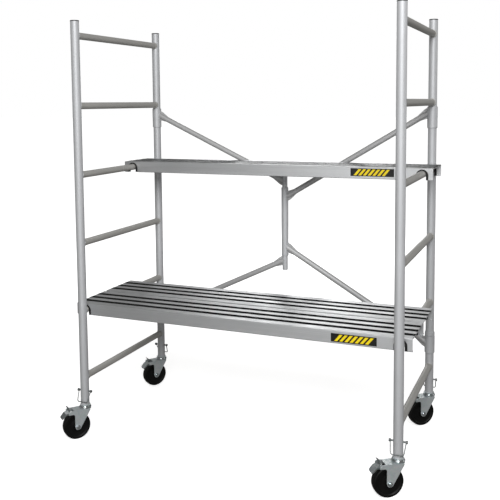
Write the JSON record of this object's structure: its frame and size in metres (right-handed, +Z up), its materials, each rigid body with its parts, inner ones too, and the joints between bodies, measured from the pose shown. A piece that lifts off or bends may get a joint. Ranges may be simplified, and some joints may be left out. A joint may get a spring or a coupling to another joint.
{
  "type": "baker scaffold",
  "caption": "Folding rolling work platform: two rung end frames joined by a hinged rear brace, striped channel planks hooked over rungs, braked swivel casters.",
  "frame": {"origin": "centre of the bounding box at floor level", "axes": "+X along the planks towards the right end frame, +Y towards the folding rear brace, +Z up"},
  "size_m": [1.2874, 0.706, 1.5555],
  "materials": {
    "frame_paint": "satin silver-grey",
    "plank_aluminium": "extruded, satin",
    "grip_rubber": "matte, gritty",
    "liner_rubber": "matte",
    "black_plastic": "moulded",
    "zinc_steel": "zinc plated",
    "wheel_black": "satin"
  },
  "bodies": {
    "left_frame": {"left_front_post": "frame_paint", "left_front_plug": "black_plastic", "left_front_caster_stem": "zinc_steel", "left_front_lock_pin": "zinc_steel", "left_rear_post": "frame_paint", "left_rear_plug": "black_plastic", "left_rear_caster_stem": "zinc_steel", "left_rear_lock_pin": "zinc_steel", "left_rungs": "frame_paint"},
    "right_frame": {"right_front_post": "frame_paint", "right_front_plug": "black_plastic", "right_front_caster_stem": "zinc_steel", "right_front_lock_pin": "zinc_steel", "right_rear_post": "frame_paint", "right_rear_plug": "black_plastic", "right_rear_caster_stem": "zinc_steel", "right_rear_lock_pin": "zinc_steel", "right_rungs": "frame_paint"},
    "left_brace": {"left_upper_sleeve": "frame_paint", "left_upper_strut": "frame_paint", "left_lower_sleeve": "frame_paint", "left_lower_strut": "frame_paint", "center_inner_post": "frame_paint"},
    "right_brace": {"right_upper_sleeve": "frame_paint", "right_upper_strut": "frame_paint", "right_lower_sleeve": "frame_paint", "right_lower_strut": "frame_paint", "center_outer_post": "frame_paint"},
    "front_plank_body": {"front_plank": "plank_aluminium", "front_plank_grip_strips": "grip_rubber", "front_plank_left_liners": "liner_rubber", "front_plank_right_liners": "liner_rubber"},
    "rear_plank_body": {"rear_plank": "plank_aluminium", "rear_plank_grip_strips": "grip_rubber", "rear_plank_left_liners": "liner_rubber", "rear_plank_right_liners": "liner_rubber"},
    "upper_plank_body": {"upper_plank": "plank_aluminium", "upper_plank_grip_strips": "grip_rubber", "upper_plank_left_liners": "liner_rubber", "upper_plank_right_liners": "liner_rubber"},
    "left_front_swivel": {"left_front_caster_fork": "zinc_steel", "left_front_axle": "zinc_steel"},
    "left_front_wheel_body": {"left_front_wheel": "wheel_black"},
    "left_front_brake": {"left_front_brake_pedal": "zinc_steel"},
    "left_front_bail": {"left_front_pin_bail": "zinc_steel"},
    "left_rear_swivel": {"left_rear_caster_fork": "zinc_steel", "left_rear_axle": "zinc_steel"},
    "left_rear_wheel_body": {"left_rear_wheel": "wheel_black"},
    "left_rear_brake": {"left_rear_brake_pedal": "zinc_steel"},
    "left_rear_bail": {"left_rear_pin_bail": "zinc_steel"},
    "right_front_swivel": {"right_front_caster_fork": "zinc_steel", "right_front_axle": "zinc_steel"},
    "right_front_wheel_body": {"right_front_wheel": "wheel_black"},
    "right_front_brake": {"right_front_brake_pedal": "zinc_steel"},
    "right_front_bail": {"right_front_pin_bail": "zinc_steel"},
    "right_rear_swivel": {"right_rear_caster_fork": "zinc_steel", "right_rear_axle": "zinc_steel"},
    "right_rear_wheel_body": {"right_rear_wheel": "wheel_black"},
    "right_rear_brake": {"right_rear_brake_pedal": "zinc_steel"},
    "right_rear_bail": {"right_rear_pin_bail": "zinc_steel"}
  },
  "joints": [
    {"name": "brace_fold", "type": "hinge", "parent": "left_frame", "child": "left_brace", "pos_m": [-0.57434, 0.32779, 0.7], "axis": [0, 0, 1], "range_deg": [0, 78]},
    {"name": "brace_center", "type": "hinge", "parent": "left_brace", "child": "right_brace", "pos_m": [0.01566, 0.32779, 0.764], "axis": [0, 0, 1], "range_deg": [-156, 0]},
    {"name": "frame_fold", "type": "hinge", "parent": "right_brace", "child": "right_frame", "pos_m": [0.60566, 0.32779, 0.7], "axis": [0, 0, 1], "range_deg": [0, 78]},
    {"name": "front_plank_lift", "type": "hinge", "parent": "left_frame", "child": "front_plank_body", "pos_m": [-0.57434, -0.15541, 0.485], "axis": [0, -1, 0], "range_deg": [0, 21.84]},
    {"name": "rear_plank_lift", "type": "hinge", "parent": "left_frame", "child": "rear_plank_body", "pos_m": [-0.57434, 0.04579, 0.485], "axis": [0, -1, 0], "range_deg": [0, 21.84]},
    {"name": "upper_plank_lift", "type": "hinge", "parent": "left_frame", "child": "upper_plank_body", "pos_m": [-0.57434, 0.20979, 0.993], "axis": [0, -1, 0], "range_deg": [0, 21.84]},
    {"name": "left_front_swivel_turn", "type": "hinge", "parent": "left_frame", "child": "left_front_swivel", "pos_m": [-0.57434, -0.27221, 0.118], "axis": [0, 0, 1], "continuous": true},
    {"name": "left_front_wheel_spin", "type": "hinge", "parent": "left_front_swivel", "child": "left_front_wheel_body", "pos_m": [-0.597, -0.30019, 0.051], "axis": [0.7771, -0.6293, 0], "continuous": true},
    {"name": "left_front_brake_press", "type": "hinge", "parent": "left_front_swivel", "child": "left_front_brake", "pos_m": [-0.61336, -0.32039, 0.105], "axis": [0.7771, -0.6293, 0], "range_deg": [0, 9]},
    {"name": "left_front_bail_open", "type": "hinge", "parent": "left_frame", "child": "left_front_bail", "pos_m": [-0.57434, -0.27221, 0.177], "axis": [-1, 0, 0], "range_deg": [0, 120]},
    {"name": "left_rear_swivel_turn", "type": "hinge", "parent": "left_frame", "child": "left_rear_swivel", "pos_m": [-0.57434, 0.32779, 0.118], "axis": [0, 0, 1], "continuous": true},
    {"name": "left_rear_wheel_spin", "type": "hinge", "parent": "left_rear_swivel", "child": "left_rear_wheel_body", "pos_m": [-0.5955, 0.29867, 0.051], "axis": [0.809, -0.5878, 0], "continuous": true},
    {"name": "left_rear_brake_press", "type": "hinge", "parent": "left_rear_swivel", "child": "left_rear_brake", "pos_m": [-0.61078, 0.27763, 0.105], "axis": [0.809, -0.5878, 0], "range_deg": [0, 9]},
    {"name": "left_rear_bail_open", "type": "hinge", "parent": "left_frame", "child": "left_rear_bail", "pos_m": [-0.57434, 0.32779, 0.177], "axis": [1, 0, 0], "range_deg": [0, 120]},
    {"name": "right_front_swivel_turn", "type": "hinge", "parent": "right_frame", "child": "right_front_swivel", "pos_m": [0.60566, -0.27221, 0.118], "axis": [0, 0, 1], "continuous": true},
    {"name": "right_front_wheel_spin", "type": "hinge", "parent": "right_front_swivel", "child": "right_front_wheel_body", "pos_m": [0.57617, -0.29286, 0.051], "axis": [0.5736, -0.8192, 0], "continuous": true},
    {"name": "right_front_brake_press", "type": "hinge", "parent": "right_front_swivel", "child": "right_front_brake", "pos_m": [0.55487, -0.30777, 0.105], "axis": [0.5736, -0.8192, 0], "range_deg": [0, 9]},
    {"name": "right_front_bail_open", "type": "hinge", "parent": "right_frame", "child": "right_front_bail", "pos_m": [0.60566, -0.27221, 0.177], "axis": [-1, 0, 0], "range_deg": [0, 120]},
    {"name": "right_rear_swivel_turn", "type": "hinge", "parent": "right_frame", "child": "right_rear_swivel", "pos_m": [0.60566, 0.32779, 0.118], "axis": [0, 0, 1], "continuous": true},
    {"name": "right_rear_wheel_spin", "type": "hinge", "parent": "right_rear_swivel", "child": "right_rear_wheel_body", "pos_m": [0.57808, 0.30465, 0.051], "axis": [0.6428, -0.766, 0], "continuous": true},
    {"name": "right_rear_brake_press", "type": "hinge", "parent": "right_rear_swivel", "child": "right_rear_brake", "pos_m": [0.55817, 0.28794, 0.105], "axis": [0.6428, -0.766, 0], "range_deg": [0, 9]},
    {"name": "right_rear_bail_open", "type": "hinge", "parent": "right_frame", "child": "right_rear_bail", "pos_m": [0.60566, 0.32779, 0.177], "axis": [1, 0, 0], "range_deg": [0, 120]}
  ],
  "couplings": [
    {"joint": "brace_center", "follows": "brace_fold", "ratio": -2},
    {"joint": "frame_fold", "follows": "brace_fold", "ratio": 1},
    {"joint": "front_plank_lift", "follows": "brace_fold", "ratio": 0.28},
    {"joint": "rear_plank_lift", "follows": "brace_fold", "ratio": 0.28},
    {"joint": "upper_plank_lift", "follows": "brace_fold", "ratio": 0.28}
  ]
}
